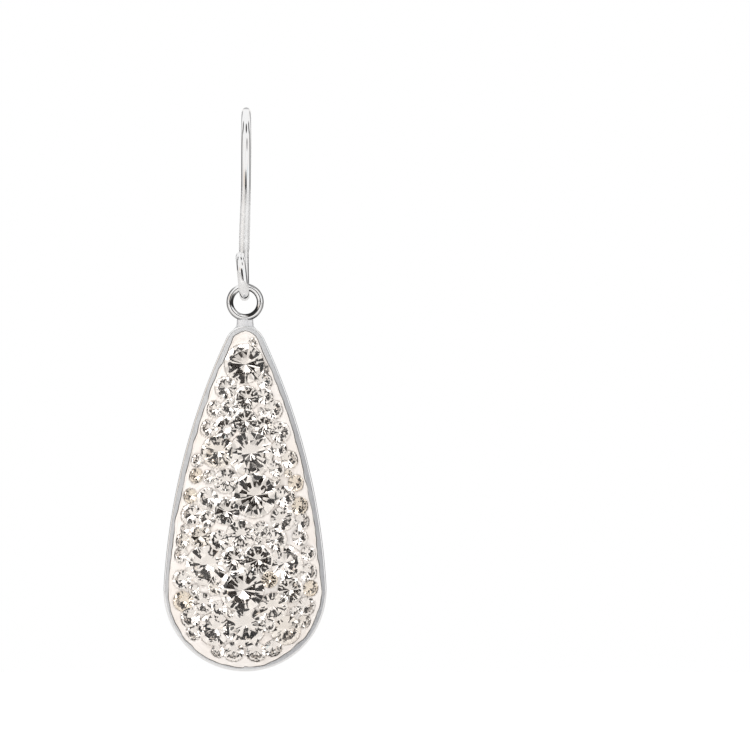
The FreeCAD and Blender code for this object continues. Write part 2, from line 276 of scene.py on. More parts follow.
def paintedOutlineSilver():
    # The ring's polished wire, with dark outlines painted along its edges: painted reflections.
    finish, tree, shader = newFinish("paintedOutlineSilver", metal=True)
    mark = addNode(tree, "ShaderNodeAttribute", {"attribute_name": "paintedOutline"})
    colourBy(tree, shader, mark, (
        (0, (0.95, 0.95, 0.95)), (0.3, (0.6, 0.6, 0.6)), (0.8, (0.05, 0.05, 0.05)), (1, (0.03, 0.03, 0.03)),
    ))
    scuff = stretchedNoise(tree, (1, 1, 1), 1800)
    mapTo(tree, scuff.outputs["Fac"], shader.inputs["Roughness"], 0.03, 0.14)
    addBump(tree, shader, scuff.outputs["Fac"], 0.15, 0.00002)
    return finish


def brushedSilver():
    # Brushed along the rim: the lines follow the piece's "along" and "across" measures.
    finish, tree, shader = newFinish("brushedSilver", metal=True)
    lines = addNode(tree, "ShaderNodeCombineXYZ")
    for measure, socket in (("along", "X"), ("across", "Y")):
        read = addNode(tree, "ShaderNodeAttribute", {"attribute_name": measure})
        tree.links.new(read.outputs["Fac"], lines.inputs[socket])
    mapping = addNode(tree, "ShaderNodeMapping")
    mapping.inputs["Scale"].default_value = (0.5, 14, 1)
    brush = addNode(tree, "ShaderNodeTexNoise", Scale=1.6, Detail=6.0)
    tree.links.new(lines.outputs["Vector"], mapping.inputs["Vector"])
    tree.links.new(mapping.outputs["Vector"], brush.inputs["Vector"])
    tint = fillRamp(tree, ((0.3, (0.80, 0.81, 0.825)), (0.7, (0.93, 0.935, 0.945))))
    tree.links.new(brush.outputs["Fac"], tint.inputs["Fac"])
    place = ownPlace(tree)
    # painted shade: the base colour is darker over the right flank
    share, paintedShadeRight = mixColours(tree, tint.outputs["Color"], (0.76, 0.765, 0.78), "MULTIPLY")
    mapTo(tree, place.outputs["X"], share, 0, 1, 0, 4 * mm)     # the right flank is darker: painted shade
    tree.links.new(paintedShadeRight, shader.inputs["Base Color"])
    satin = fillRamp(tree, ((0, 0.36), (0.55, 0.36), (0.85, 0.46), (1, 0.5)))     # softer towards the tip
    dropTop = (tipZ + outline["tipRadius"]) * mm
    mapTo(tree, place.outputs["Z"], satin.inputs["Fac"], 0, 1, cupLow.z * mm, dropTop)
    roughenBy(tree, shader, satin, brush, 0.14)
    addBump(tree, shader, brush.outputs["Fac"], 0.35, 0.00003)
    return finish


def ivoryClay():
    finish, tree, shader = newFinish("ivoryClay")
    cloud = stretchedNoise(tree, (1, 1, 1), 450, 5.0)
    colourBy(tree, shader, cloud, ((0.35, (0.93, 0.86, 0.80)), (0.62, (0.975, 0.925, 0.885))))
    mapTo(tree, cloud.outputs["Fac"], shader.inputs["Roughness"], 0.28, 0.5)
    shader.inputs["Coat Weight"].default_value = 0.25
    shader.inputs["Coat Roughness"].default_value = 0.12
    grit = stretchedNoise(tree, (1, 1, 1), 5200, 2.0)
    addBump(tree, shader, grit.outputs["Fac"], 0.25, 0.00003)
    return finish


def paintedGrooveShadow():
    # A painted shadow: the dark line in the groove where the clay meets the rim, with a little noise in it.
    finish, tree, shader = newFinish("paintedGrooveShadow")
    colourBy(tree, shader, stretchedNoise(tree, (1, 1, 1), 900), (
        (0, (0.05, 0.045, 0.04)), (0.45, (0.1, 0.095, 0.09)),
        (0.7, (0.5, 0.48, 0.46)), (1, (0.6, 0.58, 0.56)),
    ))
    shader.inputs["Roughness"].default_value = 0.6
    return finish


def crystalGlass():
    finish, _, shader = newFinish("crystalGlass")
    shader.inputs["Transmission Weight"].default_value = 1.0
    shader.inputs["IOR"].default_value = 1.56
    shader.inputs["Roughness"].default_value = 0.0
    shader.inputs["Base Color"].default_value = (1.0, 0.985, 0.968, 1)
    return finish


def mirrorFoil():
    # The stones' foiled backs, white up to champagne by each stone's tone.
    finish, tree, shader = newFinish("mirrorFoil", metal=True)
    shader.inputs["Roughness"].default_value = 0.03
    tone = addNode(tree, "ShaderNodeAttribute", {"attribute_name": "stoneTone"})
    colourBy(tree, shader, tone, ((0.6, (0.985, 0.965, 0.945)), (0.9, (0.96, 0.91, 0.84))))
    return finish


# The drop's outline is a belly, two flanks and a tip, all arcs.
outline = {
    "tipRadius": 1.64,
    "flankRadius": 54.4,
    "bellySteps": 60,
    "flankSteps": 126,
    "tipSteps": 22,
}

bellyRadius = (cupHigh.x - cupLow.x) / 2
fillInset = cupHigh.x - fillHigh.x
bellyZ = cupLow.z + bellyRadius
tipZ = fillHigh.z + fillInset - outline["tipRadius"]
span = tipZ - bellyZ
toBelly = outline["flankRadius"] - bellyRadius
toTip = outline["flankRadius"] - outline["tipRadius"]
flankUp = (toBelly ** 2 - toTip ** 2 + span ** 2) / (2 * span)
flankAcross = math.sqrt(toBelly ** 2 - flankUp ** 2)
lowAngle = math.atan2(-flankUp, flankAcross)
highAngle = math.atan2(span - flankUp, flankAcross)


def spinRoundDrop():
    # Takes what is picked at the drop's lowest point once round the outline.
    belly, tip = (0, hangY, bellyZ), (0, hangY, tipZ)
    left, right = (-flankAcross, hangY, bellyZ + flankUp), (flankAcross, hangY, bellyZ + flankUp)
    quarter, flank = math.pi / 2 + lowAngle, highAngle - lowAngle
    for centre, angle, steps in (
        (belly, quarter, outline["bellySteps"]),
        (left, flank, outline["flankSteps"]),
        (tip, math.pi - 2 * highAngle, outline["tipSteps"]),
        (right, flank, outline["flankSteps"]),
        (belly, quarter, outline["bellySteps"]),
    ):
        spin(centre, (0, -1, 0), angle, steps)


def nearestOnOutline(x, z):
    # How far round the outline a point is, and how far inside it.
    side = abs(x)
    if z < bellyZ + math.tan(lowAngle) * side:
        angle = math.atan2(z - bellyZ, side) + math.pi / 2
        return angle * bellyRadius, bellyRadius - math.hypot(side, z - bellyZ)
    start = (lowAngle + math.pi / 2) * bellyRadius
    if z > tipZ + math.tan(highAngle) * side:
        angle = math.atan2(z - tipZ, side) - highAngle
        start += (highAngle - lowAngle) * outline["flankRadius"]
        return start + angle * outline["tipRadius"], outline["tipRadius"] - math.hypot(side, z - tipZ)
    reach = Vector((side + flankAcross, z - bellyZ - flankUp))
    angle = math.atan2(reach.y, reach.x) - lowAngle
    return start + angle * outline["flankRadius"], outline["flankRadius"] - reach.length


earWire = {
    "wireRadius": 0.4,
    "sides": 28,
    "archRadius": 4.6,
    "shoulderRadius": 9.0,
    "stemY": -5.0,
    "tailLean": 10.0,
    "tailLength": 7.5,
    "loopRadius": 1.25,
    "loopRise": 0.65,
    "loopLean": 5.0,
    "loopTurn": 119.0,      # degrees of the loop's last bend
    "tipRound": 0.3,
    "sway": 0.13,           # how far the hand-bent stem wanders to the side
    "tipRings": 5,
    "archSteps": 72,
    "shoulderSteps": 24,
    "stemParts": 14,
    "bendSteps": 20,        # for each of the two quarter bends under the stem
    "loopSteps": 30,
    "endInset": 0.05,       # both ends keep a small burr-free edge
    "endStep": 0.02,
}


def makeEarWire():
    wire = earWire
    radius, bend = wire["wireRadius"], wire["loopRadius"]
    lean = math.radians(wire["tailLean"])
    archZ = radius - wire["archRadius"]
    shift = wire["shoulderRadius"] - wire["archRadius"]
    turn = math.acos((wire["shoulderRadius"] + wire["stemY"]) / shift)
    shoulderCentre = (0, wire["shoulderRadius"] + wire["stemY"], archZ - shift * math.sin(turn))
    topY, topZ = wire["archRadius"] * math.cos(lean), archZ + wire["archRadius"] * math.sin(lean)
    down = Vector((0, math.sin(lean), -math.cos(lean)))
    tipEnd = Vector((0, topY, topZ)) + down * wire["tailLength"]
    loopBottom = wireLow.z + radius

    # the rounded tip: rings that grow from the tail's end
    bpy.ops.mesh.primitive_circle_add(
        vertices=wire["sides"], radius=radius - wire["tipRound"], location=tipEnd, rotation=(lean, 0, 0)
    )
    piece = bpy.context.object
    piece.select_set(True)
    bpy.ops.object.transform_apply(location=True, rotation=True, scale=True)
    openEdit(piece)
    pickAll()
    rounds = wire["tipRings"]
    size, height = radius - wire["tipRound"], 0.0
    for ring in range(1, rounds + 1):
        around = math.pi / 2 * ring / rounds
        newSize = radius - wire["tipRound"] * (1 - math.sin(around))
        newHeight = wire["tipRound"] * (1 - math.cos(around))
        pull(-down * (newHeight - height))
        centre = tipEnd - down * newHeight
        widen((newSize / size,) * 3, centre)
        size, height = newSize, newHeight
    pull(-down * (wire["tailLength"] - height))
    spin((0, 0, archZ), (1, 0, 0), math.pi - turn - lean, wire["archSteps"])
    spin(shoulderCentre, (1, 0, 0), turn, wire["shoulderSteps"])
    stemLength = shoulderCentre[2] - (loopBottom + bend)
    for _ in range(wire["stemParts"]):
        pull((0, 0, -stemLength / wire["stemParts"]))
    foot = (0, wire["stemY"] - bend, loopBottom + bend)
    spin(foot, (-1, 0, 0), math.pi / 2, wire["bendSteps"])

    # the loop's front leans to the left, so its bends turn about a leaning axis
    tilt = math.radians(wire["loopLean"])
    up = Vector((-math.sin(tilt), 0, math.cos(tilt)))
    axis = Vector((-math.cos(tilt), 0, -math.sin(tilt)))
    low = Vector((0, wire["stemY"] - bend, loopBottom))
    spin(low + up * bend, axis, math.pi / 2, wire["bendSteps"])
    pull(up * wire["loopRise"])
    spin(low + up * (bend + wire["loopRise"]), axis, math.radians(wire["loopTurn"]), wire["loopSteps"])

    # both ends are closed, and the cut end keeps a small burr-free edge
    pick("EDGE", rimOfHole)
    bpy.ops.mesh.edge_face_add()
    pick("FACE", lambda face: len(face.verts) > 4)
    bpy.ops.mesh.inset(thickness=wire["endInset"], depth=wire["endStep"])
    tidySkin()
    closeEdit()

    # the hand-bent stem leans a little to the left on its way down, and comes back at the loop
    for point in piece.data.vertices:
        fallen = (archZ - point.co.z) / (archZ - loopBottom)
        left = min(1.0, max(0.0, (fallen - 0.1) / 0.5))
        back = min(1.0, max(0.0, (fallen - 0.62) / 0.38))
        point.co.x += wire["sway"] * (0.45 - 1.2 * left * left * (3 - 2 * left) + 0.5 * back * back)
    piece.data.materials.append(polishedSilver())
    smoothShade(piece, 50)
    return finishPiece(piece, "earWire", "hook", "silver_wire", "ear_wire")


setting = {
    "rimWidth": 0.6,
    "backPlate": 0.5,
    "lip": 0.14,
    "backRound": 0.3,
    "ringWire": 0.56,
    "ringDiameter": 3.0,
    "neckWaist": 0.66,
    "paintedOutline": 1.0,         # how dark the painted reflection on the ring's inner side is
    "paintedOutlineSpots": (-52, 168),     # degrees round the ring, where the painted reflection is thickest
    "paintedOutlineFrom": 0.45,    # shares of the way from the wire's middle to its edge
    "paintedOutlineFade": 0.3,
    "paintedOutlineOuter": 0.7,    # how dark the outer side is beside the inner one
    "leftLines": 200,       # sets the left flank's brushed lines apart from the right's
}


def liesAt(edge, depth):
    return all(abs(vertex.co.y - depth) < 0.001 for vertex in edge.verts)


def makeCup():
    rim, depth = setting["rimWidth"], cupHigh.y - cupLow.y
    centre = (0, hangY, cupLow.z + rim / 2)
    bpy.ops.mesh.primitive_plane_add(size=1, location=centre, rotation=(0, math.pi / 2, 0))
    piece = bpy.context.object
    bpy.ops.object.transform_apply(location=True, rotation=True, scale=True)
    openEdit(piece)
    pickAll()
    widen((1, depth, rim), centre)
    bpy.ops.mesh.delete(type="ONLY_FACE")
    pick("EDGE", lambda edge: middle(edge).y > cupHigh.y - 0.01)
    bpy.ops.mesh.delete(type="EDGE")
    pick("VERT", lambda point: point.co.y > cupHigh.y - 0.01 and point.co.z > cupLow.z + 0.1)
    bpy.ops.transform.translate(value=(0, -setting["backPlate"], 0))
    pickAll()
    spinRoundDrop()
    pickAll()
    bpy.ops.mesh.remove_doubles(threshold=0.001)
    for depthWanted in (cupHigh.y, cupHigh.y - setting["backPlate"]):
        pick("EDGE", lambda edge: edge.is_boundary and abs(middle(edge).y - depthWanted) < 0.01)
        bpy.ops.mesh.edge_face_add()
    tidySkin()
    pick("EDGE", lambda edge: liesAt(edge, cupLow.y) and not edge.is_boundary
         and any(len(face.verts) == 4 and abs(face.normal.y) < 0.5 for face in edge.link_faces))
    bpy.ops.mesh.bevel(offset=setting["lip"], segments=4)
    pick("EDGE", lambda edge: liesAt(edge, cupHigh.y)
         and any(abs(face.normal.y) < 0.5 for face in edge.link_faces))
    bpy.ops.mesh.bevel(offset=setting["backRound"], segments=5)
    tidySkin()
    closeEdit()
    return piece


def makeRing():
    wireRadius = setting["ringWire"] / 2
    ringRadius = setting["ringDiameter"] / 2 - wireRadius
    bpy.ops.mesh.primitive_torus_add(
        location=(0, hangY, hangZ - ringRadius), rotation=(math.pi / 2, 0, 0),
        major_radius=ringRadius, minor_radius=wireRadius, major_segments=96, minor_segments=24,
    )
    piece = bpy.context.object
    bpy.ops.object.transform_apply(location=True, rotation=True, scale=True)
    return piece


def makeNeck():
    # A solder neck: narrow in the middle, flowing out into the ring above and the cup below.
    waist = setting["neckWaist"]
    ringBottom = hangZ - setting["ringDiameter"] + setting["ringWire"]
    dropTop = tipZ + outline["tipRadius"]
    levels = (          # height, and half its width and depth as shares of the waist
        (ringBottom + 0.1, 0.55, 0.24), (ringBottom - 0.06, 0.86, 0.33), (ringBottom - 0.18, 1.0, 0.42),
        (ringBottom - 0.3, 1.0, 0.54), (dropTop + 0.05, 1.03, 0.66), (dropTop - 0.07, 1.12, 0.74),
        (dropTop - 0.18, 1.28, 0.8), (dropTop - 0.3, 1.46, 0.84), (dropTop - 0.44, 1.56, 0.88),
    )
    height, wide, deep = levels[0]
    bpy.ops.mesh.primitive_circle_add(
        vertices=40, radius=waist * wide, location=(0, hangY, height), fill_type="NGON"
    )
    piece = bpy.context.object
    bpy.ops.object.transform_apply(location=True, rotation=True, scale=True)
    openEdit(piece)
    pickAll()
    widen((1, deep / wide, 1), (0, hangY, height))
    for level, width, depth in levels[1:]:
        pull((0, 0, level - height))
        widen((width / wide, depth / deep, 1), (0, hangY, level))
        height, wide, deep = level, width, depth
    tidySkin()
    closeEdit()
    return piece


def weldTo(cup, part):
    weld = cup.modifiers.new("weld", "BOOLEAN")
    weld.operation = "UNION"
    weld.solver = "EXACT"
    weld.object = part
    selectOnly(cup)
    bpy.ops.object.modifier_apply(modifier=weld.name)
    bpy.data.objects.remove(part)


def measureRim(cup):
    # How far along and across the rim each point is, for the brushed lines.
    along = cup.data.attributes.new("along", "FLOAT", "POINT")
    across = cup.data.attributes.new("across", "FLOAT", "POINT")
    for point in cup.data.vertices:
        run, inside = nearestOnOutline(point.co.x, point.co.z)
        along.data[point.index].value = run if point.co.x >= 0 else run + setting["leftLines"]
        across.data[point.index].value = inside + (point.co.y - cupLow.y)


def paintRingOutline(cup, ringZ, ringInner):
    # Painted reflections: dark on both edges of the ring as seen from the front, most of all on its inner
    # side.
    paintedOutline = cup.data.attributes.new("paintedOutline", "FLOAT", "POINT")
    for point in cup.data.vertices:
        reach = Vector((point.co.x, point.co.z - ringZ))
        inner = 1 - (reach.length - ringInner) / setting["ringWire"] * 2
        isInner = inner > 0
        patchy = 0.95 + 1.2 * noise.noise(Vector((reach.x * 0.9, reach.y * 0.9, 3)))
        bearing = math.degrees(math.atan2(reach.y, reach.x))
        thick = max(math.cos(math.radians(bearing - spot)) for spot in setting["paintedOutlineSpots"])
        start = setting["paintedOutlineFrom"] - 3.5 * max(0.0, thick - 0.8) * (1 if isInner else 0)
        shade = max(0.0, min(1.0, (abs(inner) - start) / setting["paintedOutlineFade"])) * patchy
        shade *= 1 if isInner else setting["paintedOutlineOuter"]
        paintedOutline.data[point.index].value = max(0.0, min(1.0, shade * setting["paintedOutline"]))


def giveFinishes(cup, ringZ, ringInner):
    # The rim keeps the first finish, and the others go to the lip's edge, the neck and back, and the ring.
    for finish in (brushedSilver(), bpy.data.materials["polishedSilver"], satinSilver(), paintedOutlineSilver()):
        cup.data.materials.append(finish)
    burnished, satin, paintedOutlineIndex = 1, 2, 3
    dropTop = tipZ + outline["tipRadius"]
    wireRadius = setting["ringWire"] / 2
    for face in cup.data.polygons:
        place, facing = face.center, face.normal.y
        fromRing = math.hypot(place.x, place.z - ringZ)
        torus = math.hypot(fromRing - ringInner - wireRadius, place.y - hangY)
        if place.z > dropTop + 0.02:
            # the ring takes the finish with dark reflections painted on its edges
            face.material_index = paintedOutlineIndex if torus < wireRadius + 0.02 else satin
        elif abs(facing) > 0.95 and place.y > cupLow.y + 0.5:
            face.material_index = satin
        elif 0.08 < -facing < 0.985 and place.y < cupLow.y + 0.3:
            face.material_index = burnished


def makeSetting():
    cup, ring, neck = makeCup(), makeRing(), makeNeck()
    for part in (neck, ring):
        weldTo(cup, part)
    ringCentre = Vector((0, hangY, hangZ - (setting["ringDiameter"] - setting["ringWire"]) / 2))
    ringInner = setting["ringDiameter"] / 2 - setting["ringWire"] - 0.01
    measureRim(cup)
    paintRingOutline(cup, ringCentre.z, ringInner)
    giveFinishes(cup, ringCentre.z, ringInner)
    smoothShade(cup, 35)
    return finishPiece(cup, "silverSetting", "drop", "silver_setting", "setting")


# The dome that clay and crystals follow.
domeMesh = frame["nodes"]["paved_filling"].data
domeTree = BVHTree.FromPolygons(
    [tuple(v.co / mm) for v in domeMesh.vertices], [tuple(p.vertices) for p in domeMesh.polygons]
)


def domeY(x, z):
    hit = domeTree.ray_cast(Vector((x, fillLow.y - 5, z)), Vector((0, 1, 0)))[0]
    return min(hit.y, cupLow.y) if hit else cupLow.y


def domeNormal(x, z, reach=0.45):
    # Read off a small cross of points, so that it isn't one facet's.
    slopeX = (domeY(x + reach, z) - domeY(x - reach, z)) / (2 * reach)
    slopeZ = (domeY(x, z + reach) - domeY(x, z - reach)) / (2 * reach)
    return Vector((slopeX, -1, slopeZ)).normalized()


# Charted: across from the middle, down from the drop's top, and the stone's width.
crystals = {
    "chart": (
        (-0.3, 3.0, 2.9), (1.6, 3.2, 0.8), (0.9, 1.7, 0.7), (1.7, 4.3, 1.2), (-1.8, 4.9, 1.6),
        (0.1, 5.9, 1.8), (1.7, 5.6, 1.2), (-1.5, 6.5, 1.3), (2.4, 6.8, 1.4), (-2.6, 6.6, 1.2),
        (0.1, 7.7, 1.8), (-1.6, 8.0, 1.7), (1.6, 7.9, 1.5), (2.8, 8.4, 1.5), (-3.0, 8.1, 1.2),
        (0.5, 10.2, 3.3), (-2.4, 10.1, 2.4), (3.7, 10.4, 1.3), (2.6, 11.4, 1.2), (2.6, 9.8, 1.2),
        (-4.0, 10.3, 1.0), (-1.6, 12.4, 1.8), (-3.9, 12.0, 1.1), (-2.8, 12.1, 1.0),
        (0.9, 13.6, 3.3), (4.1, 12.7, 1.2), (3.1, 13.8, 1.6), (4.5, 14.0, 1.3), (-3.1, 13.8, 1.6),
        (-1.4, 14.7, 2.0), (-4.4, 13.6, 1.1), (3.1, 15.5, 1.8), (-4.3, 15.1, 1.5), (-3.0, 15.5, 1.3),
        (-0.4, 17.0, 2.2), (1.5, 16.4, 1.2), (2.7, 17.2, 1.6), (4.6, 15.6, 1.2), (4.5, 16.9, 1.2),
        (-2.2, 17.2, 1.5), (-3.9, 16.8, 1.7), (-5.2, 17.0, 1.1), (-3.4, 19.1, 3.0), (-0.9, 18.8, 1.8),
        (1.0, 18.7, 2.2), (3.5, 19.0, 2.5), (5.4, 18.2, 1.1), (5.4, 19.6, 1.3), (-5.5, 18.6, 1.1),
        (-0.3, 21.1, 3.3), (3.5, 21.1, 1.9), (2.0, 20.3, 1.2), (-5.4, 20.0, 1.4), (-2.3, 21.0, 1.0),
        (5.3, 21.0, 1.2), (-5.2, 22.5, 1.5), (-3.6, 22.3, 1.6), (-2.2, 22.6, 1.2), (5.0, 22.5, 1.4),
        (2.7, 22.6, 2.1), (-0.2, 24.3, 2.9), (3.3, 24.5, 2.2), (-2.5, 24.6, 2.4), (-4.5, 24.0, 1.5),
        (-4.0, 25.3, 1.1), (-1.0, 26.5, 1.5), (0.9, 26.5, 1.5), (2.2, 25.9, 1.3), (1.7, 24.3, 1.0),
        (4.9, 23.8, 1.0), (-2.4, 26.2, 1.0),
    ),
    "champagne": (          # the charted stones that are tinted
        (-3.9, 12.0), (4.1, 12.7), (4.5, 14.0), (-5.2, 22.5), (-4.4, 13.6), (5.3, 21.0), (2.0, 20.3),
    ),
    "champagneTone": 0.9,
    "plainTones": (0, 0.7),
    "fillerTones": (0, 0.85),
    "snug": 1.1,            # the charted widths leave out the girdle's edge
    "crowding": 0.92,       # how near charted stones are eased, as a share of their mean width
    "easeRounds": 40,
    "fillers": (1.5, 1.3, 1.1, 0.95, 0.8, 0.65),
    "fillerTries": 900,
    "fillerNear": 0.9,      # how near a small stone may come, as the same share
    "fillerTop": 1.8,       # no small stones this near the tip
    "proud": 0.06,          # how far a table stands out of the dome
    "tipSink": 0.25,        # a tipped stone is set deeper
    "table": 0.33,          # these four are shares of the stone's width
    "crown": 0.12,
    "girdle": 0.03,
    "scallop": 0.012,
    "pavilionAngle": 41.5,
    "wobble": 6.0,          # degrees that a pressed-in stone may tip
    "facing": 0.58,         # how far a wide stone is levelled towards the front, from the dome's slope
    "edgeRoom": -0.1,
}


def addRing(corners, radius, height, turn):
    bpy.ops.mesh.primitive_circle_add(
        vertices=corners, radius=radius, location=(0, 0, height), rotation=(0, 0, turn)
    )


def makeOneCrystal():
    # One brilliant, one unit wide, with its girdle's top at zero: rings of corners, then their hull.
    cut = crystals
    deep = -cut["girdle"] - 0.5 * math.tan(math.radians(cut["pavilionAngle"]))
    rings = (
        (8, cut["table"], cut["crown"], 0), (16, 0.5, 0, 0), (8, 0.5, -cut["girdle"], 0),
        (8, 0.5, -cut["girdle"] - cut["scallop"], math.pi / 8), (4, 0.004, deep, 0),
    )
    bpy.ops.object.select_all(action="DESELECT")
    addRing(*rings[0])
    piece = bpy.context.object
    bpy.ops.object.transform_apply(location=True, rotation=True, scale=True)
    openEdit(piece)
    for ring in rings[1:]:
        addRing(*ring)
    pickAll()
    bpy.ops.mesh.convex_hull(face_threshold=math.radians(1), shape_threshold=math.radians(30))
    bpy.ops.mesh.normals_make_consistent(inside=False)
    closeEdit()
    for finish in (crystalGlass(), mirrorFoil()):
        piece.data.materials.append(finish)
    for face in piece.data.polygons:
        face.material_index = 1 if face.normal.z < 0.1 else 0     # foil below the crown
    return piece


def easeApart(stones):
    # Stones that crowd move half the way apart, the smaller one further.
    for first, one in enumerate(stones):
        for other in stones[first + 1:]:
            gap = math.hypot(one[0] - other[0], one[1] - other[1])
            crowd = (one[2] + other[2]) / 2 * crystals["crowding"] - gap
            if crowd > 0:
                share = one[2] ** 2 / (one[2] ** 2 + other[2] ** 2)
                wayX, wayZ = (other[0] - one[0]) / gap, (other[1] - one[1]) / gap
                one[0] -= wayX * crowd * (1 - share) * 0.5
                one[1] -= wayZ * crowd * (1 - share) * 0.5
                other[0] += wayX * crowd * share * 0.5
                other[1] += wayZ * crowd * share * 0.5


def roomAt(x, z):
    return nearestOnOutline(x, z)[1] - fillInset - crystals["edgeRoom"]


def easeInside(stones):
    # Stones that stand over the edge move half the way in.
    for stone in stones:
        room = roomAt(stone[0], stone[1]) - stone[2] / 2
        if room < 0:
            middleZ = min(max(stone[1], bellyZ), tipZ)
            inward = Vector((-stone[0], middleZ - stone[1]))
            if inward.length > 0.01:
                inward.normalize()
                stone[0] -= inward.x * room * 0.5
                stone[1] -= inward.y * room * 0.5


def chartCrystals():
    # The charted stones, eased apart where they crowd, then small ones in the gaps between.
    top = tipZ + outline["tipRadius"]
    stones = []
    for x, down, width in crystals["chart"]:
        tinted = (x, down) in crystals["champagne"]
        tone = crystals["champagneTone"] if tinted else draw.uniform(*crystals["plainTones"])
        stones.append([x, top - down, width * crystals["snug"], tone])
    for _ in range(crystals["easeRounds"]):
        easeApart(stones)
        easeInside(stones)
    highest = fillHigh.z - crystals["fillerTop"]
    for width in crystals["fillers"]:
        for _ in range(crystals["fillerTries"]):
            x, z = draw.uniform(fillLow.x, fillHigh.x), draw.uniform(fillLow.z, highest)
            near = crystals["fillerNear"]
            clear = all(math.hypot(x - s[0], z - s[1]) > (width + s[2]) / 2 * near for s in stones)
            if roomAt(x, z) > width / 2 and clear:
                stones.append([x, z, width, draw.uniform(*crystals["fillerTones"])])
    return stones


def placeCrystals(stones):
    # Each stone's table just reaches the dome, and its axis tips a little off the dome's own.
    placed = []
    for x, z, width, tone in stones:
        normal = domeNormal(x, z, max(0.3, width / 3))
        tip = math.radians(crystals["wobble"])
        level = normal.lerp(Vector((0, -1, 0)), crystals["facing"] * min(1.0, width / 2))
        axis = (level + Vector([draw.uniform(-tip, tip) for _ in range(3)])).normalized()
        surface = Vector((x, domeY(x, z), z))
        deeper = abs(axis.angle(normal)) * width * crystals["tipSink"]
        placed.append({
            "girdle": surface - normal * (crystals["crown"] * width - crystals["proud"] + deeper),
            "axis": axis, "radius": width / 2, "turn": draw.uniform(0, math.pi / 4), "tone": tone,
            "lip": clay["lipHeight"] * draw.uniform(*clay["lipSpread"]),
        })
    return placed


def makeCrystals(placed):
    master = makeOneCrystal()
    copies = []
    for stone in placed:
        copy = master.copy()
        copy.data = master.data.copy()
        bpy.context.collection.objects.link(copy)
        turned = stone["axis"].to_track_quat("Z", "Y").to_matrix().to_4x4()
        grown = Matrix.Scale(stone["radius"] * 2, 4)
        spun = Matrix.Rotation(stone["turn"], 4, "Z")
        copy.data.transform(Matrix.Translation(stone["girdle"]) @ turned @ spun @ grown)
        tone = copy.data.attributes.new("stoneTone", "FLOAT", "FACE")
        for face in tone.data:
            face.value = stone["tone"]
        copies.append(copy)
    bpy.data.objects.remove(master)
    bpy.ops.object.select_all(action="DESELECT")
    for copy in copies:
        copy.select_set(True)
    bpy.context.view_layer.objects.active = copies[0]
    bpy.ops.object.join()
    return finishPiece(bpy.context.object, "crystals", "drop", "crystal")


clay = {
    "cuts": 84,
    "sunk": 0.32,           # how far the clay lies under the dome, away from its edge
    "edgeWidth": 0.9,
    "seatRoom": 0.08,
    "lipHeight": 0.07,
    "lipSpread": (-0.4, 1.6),       # each stone's lip, as shares of that height
    "lipWidth": 0.34,
    "smear": 0.28,          # how far the clay may run out over the rim
    "smearThick": 0.07,
    "ripple": 0.04,         # the pressed clay's unevenness
    "floorGap": 0.04,
    "undercut": 0.03,       # how far the smear's foot stands back from its edge
    "shadowLine": 0.07,           # the painted shadow line where the clay meets the rim
}


def clayEdge(along, x):
    # The hand-pressed edge runs out over the rim by an uneven width.
    side = 0 if x >= 0 else 40
    wave = noise.noise(Vector((along * 0.35, side, 0))) + 0.5 * noise.noise(Vector((along * 1.1, side, 5)))
    low = max(0.0, 1 - along / 20) * (0.75 if x < 0 else 0.3)     # wider towards the belly's lowest point
    return clay["smear"] * min(1.0, max(0.0, 0.3 + 0.6 * wave + low))


def claySurface(x, z, inside, placed):
    # The clay's front at a place: the sunk dome, pressed down under stones and raised in lips round them.
    depth = min(1.0, max(0.0, inside / clay["edgeWidth"]))
    base = domeY(x, z) + clay["sunk"] * depth * depth * (3 - 2 * depth)
    base += clay["ripple"] * noise.noise(Vector((x * 1.3, z * 1.3, 2))) * depth
    seat, lip = None, base
    slope = math.tan(math.radians(crystals["pavilionAngle"]))
    for stone in placed:
        girdle, axis, radius = stone["girdle"], stone["axis"], stone["radius"]
        offX, offZ = x - girdle.x, z - girdle.z
        if offX * offX + offZ * offZ > (radius + 0.6) ** 2:
            continue
        planeY = girdle.y - (offX * axis.x + offZ * axis.z) / axis.y
        flat = Vector((x, planeY, z)) - girdle
        reach = flat.length
        if reach < radius:
            sink, leans = 0.0, Vector((0, 1, 0)) - axis * axis.y
            for _ in range(8):
                within = max(0.0, radius - (flat + leans * sink).length)
                sink = (within * slope + crystals["girdle"] * radius * 2) / -axis.y
            seatY = planeY + sink + clay["seatRoom"]
            seat = seatY if seat is None else max(seat, seatY)
        elif reach < radius + clay["lipWidth"]:
            near = 1 - (reach - radius) / clay["lipWidth"]
            wanted = planeY - stone["lip"]
            if wanted < base:
                lip = min(lip, base + (wanted - base) * near * near)
            else:
                lip += (wanted - lip) * near * near
    return seat if seat is not None else lip


def outwardAt(x, z):
    side = -1 if x < 0 else 1
    if z < bellyZ + math.tan(lowAngle) * abs(x):
        way = Vector((abs(x), z - bellyZ))
    elif z > tipZ + math.tan(highAngle) * abs(x):
        way = Vector((abs(x), z - tipZ))
    else:
        way = Vector((abs(x) + flankAcross, z - bellyZ - flankUp))
    way.normalize()
    return Vector((way.x * side, way.y))


def addEdgeLoop(piece, share, inset, proud):
    # Draws one more strip out of the sheet's open edge. It follows a share of the smear's width, and
    # lies at an inset from there and a height over the rim.
    openEdit(piece)
    pick("EDGE", rimOfHole)
    pull((0, 0, 0))
    closeEdit()
    counts = {}
    for face in piece.data.polygons:
        for key in face.edge_keys:
            counts[key] = counts.get(key, 0) + 1
    for index in {index for key, count in counts.items() if count == 1 for index in key}:
        point = piece.data.vertices[index]
        along, inside = nearestOnOutline(point.co.x, point.co.z)
        shift = inside - (fillInset - share * clayEdge(along, point.co.x) - inset)
        out = outwardAt(point.co.x, point.co.z)
        point.co.x += out.x * shift
        point.co.z += out.y * shift
        point.co.y = cupLow.y - proud


